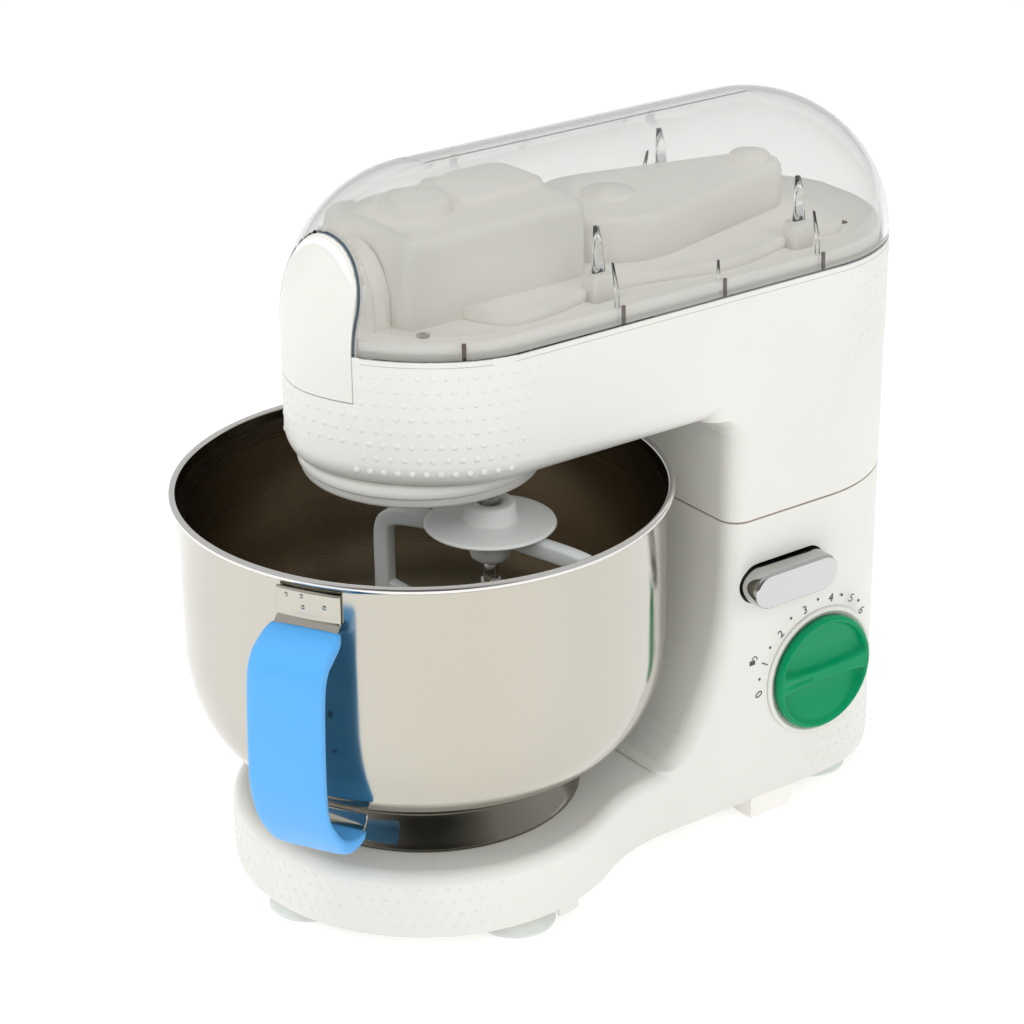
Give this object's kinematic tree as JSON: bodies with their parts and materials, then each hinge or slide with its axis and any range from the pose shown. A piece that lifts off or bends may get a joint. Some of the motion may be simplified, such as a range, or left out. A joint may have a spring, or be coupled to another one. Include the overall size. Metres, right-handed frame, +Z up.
{
  "type": "stand mixer",
  "caption": "Stand mixer with a tilting head, planetary flat beater, clear top cover, speed dial and a steel bowl with a side handle.",
  "frame": {"origin": "middle of the footprint on the table, at the underside of the feet", "axes": "+Z up, -Y towards the nose of the head, +X towards the speed dial"},
  "size_m": [0.2274, 0.3843, 0.3426],
  "materials": {
    "white_plastic": "satin warm white moulded ABS",
    "cover_clear": "clear polished polycarbonate",
    "inner_white": "matt white moulded plastic",
    "green": "satin green plastic",
    "chrome": "bright chrome plating",
    "bowl_steel": "polished stainless steel, brushed inside",
    "steel": "plain machined steel",
    "spring_steel": "hard drawn spring wire",
    "blue_grip": "soft satin light blue grip plastic",
    "beater_grey": "light grey non-stick coating on cast aluminium",
    "splash_grey": "light grey moulded plastic",
    "foot_rubber": "translucent greenish grey soft rubber",
    "gear_nylon": "natural nylon",
    "gear_steel": "sintered steel",
    "copper_stack": "laminated steel stack with varnished windings",
    "aluminium": "die-cast aluminium",
    "belt_rubber": "black drive belt",
    "board": "glass-epoxy board with parts",
    "dark_plastic": "black switch housing",
    "grommet": "light grey grommet"
  },
  "bodies": {
    "base": {"lower_housing": "white_plastic", "bottom_cover": "inner_white", "suction_feet": "foot_rubber", "foot_screws": "steel", "housing_screws": "steel", "bowl_seat": "inner_white", "seat_screws": "steel", "column_deck": "inner_white", "hinge_bracket": "steel", "hinge_pin": "steel", "button_guide": "inner_white", "button_spring": "spring_steel", "dial_bezel": "white_plastic", "speed_switch": "dark_plastic", "control_board": "board", "cord_inlet": "grommet"},
    "release": {"release_button": "chrome", "latch_bolt": "steel"},
    "dial": {"speed_dial": "green", "dial_shaft": "steel"},
    "bowl_group": {"bowl": "bowl_steel", "bowl_foot_ring": "bowl_steel", "handle_strap": "bowl_steel", "handle_grip": "blue_grip"},
    "head": {"head_shell": "white_plastic", "clear_cover": "cover_clear", "outlet_frame": "inner_white", "inner_tray": "inner_white", "tray_screws": "steel", "gear_tower": "inner_white", "belt_cover": "inner_white", "drive_belt": "belt_rubber", "gear_plate": "aluminium", "motor_plate": "aluminium", "motor_stator": "copper_stack", "latch_keeper": "steel", "ring_gear": "gear_steel"},
    "carrier": {"planet_hub": "white_plastic", "planet_shaft": "steel", "main_gear": "gear_nylon"},
    "beater": {"beater_pinion": "gear_steel", "beater_shaft": "steel", "splash_disc": "splash_grey", "flat_beater": "beater_grey", "beater_pin": "steel"},
    "cluster": {"cluster_gear": "gear_nylon"},
    "pulley": {"large_pulley": "gear_nylon", "pulley_shaft": "gear_steel"},
    "rotor": {"motor_pulley": "aluminium", "motor_shaft": "steel", "motor_rotor": "copper_stack", "cooling_fan": "dark_plastic"},
    "outlet": {"outlet_shaft": "steel"},
    "cap": {"front_cap": "white_plastic"}
  },
  "joints": [
    {"name": "head_tilt", "type": "hinge", "parent": "base", "child": "head", "pos_m": [0, 0.1635, 0.1945], "axis": [-1, 0, 0], "range_deg": [0, 35]},
    {"name": "release_press", "type": "slide", "parent": "base", "child": "release", "axis": [-1, 0, 0], "range_m": [0, 0.006], "stiffness_N_per_m": 400, "deforming": ["button_spring"]},
    {"name": "dial_turn", "type": "hinge", "parent": "base", "child": "dial", "pos_m": [0.0684, 0.12, 0.0705], "axis": [-1, 0, 0], "range_deg": [0, 147]},
    {"name": "bowl_twist", "type": "hinge", "parent": "base", "child": "bowl_group", "pos_m": [0, -0.0625, 0.044], "axis": [0, 0, 1], "range_deg": [0, 25]},
    {"name": "carrier_spin", "type": "hinge", "parent": "head", "child": "carrier", "pos_m": [0, -0.0625, 0.21], "axis": [0, 0, 1], "continuous": true},
    {"name": "beater_spin", "type": "hinge", "parent": "carrier", "child": "beater", "pos_m": [0.02707, -0.04451, 0.19], "axis": [0, 0, 1], "continuous": true},
    {"name": "cluster_spin", "type": "hinge", "parent": "head", "child": "cluster", "pos_m": [0, -0.00075, 0.25], "axis": [0, 0, 1], "continuous": true},
    {"name": "pulley_spin", "type": "hinge", "parent": "head", "child": "pulley", "pos_m": [0, 0.0415, 0.27], "axis": [0, 0, 1], "continuous": true},
    {"name": "rotor_spin", "type": "hinge", "parent": "head", "child": "rotor", "pos_m": [0, 0.1255, 0.22], "axis": [0, 0, 1], "continuous": true},
    {"name": "outlet_spin", "type": "hinge", "parent": "head", "child": "outlet", "pos_m": [0, -0.0925, 0.292], "axis": [0, -1, 0], "continuous": true},
    {"name": "cap_pull", "type": "slide", "parent": "head", "child": "cap", "axis": [0, -1, 0], "range_m": [0, 0.05]}
  ],
  "couplings": [
    {"joint": "beater_spin", "follows": "carrier_spin", "ratio": -2.6667},
    {"joint": "cluster_spin", "follows": "carrier_spin", "ratio": -3.75},
    {"joint": "pulley_spin", "follows": "carrier_spin", "ratio": 12.5},
    {"joint": "rotor_spin", "follows": "carrier_spin", "ratio": 41.667},
    {"joint": "outlet_spin", "follows": "carrier_spin", "ratio": 1}
  ]
}
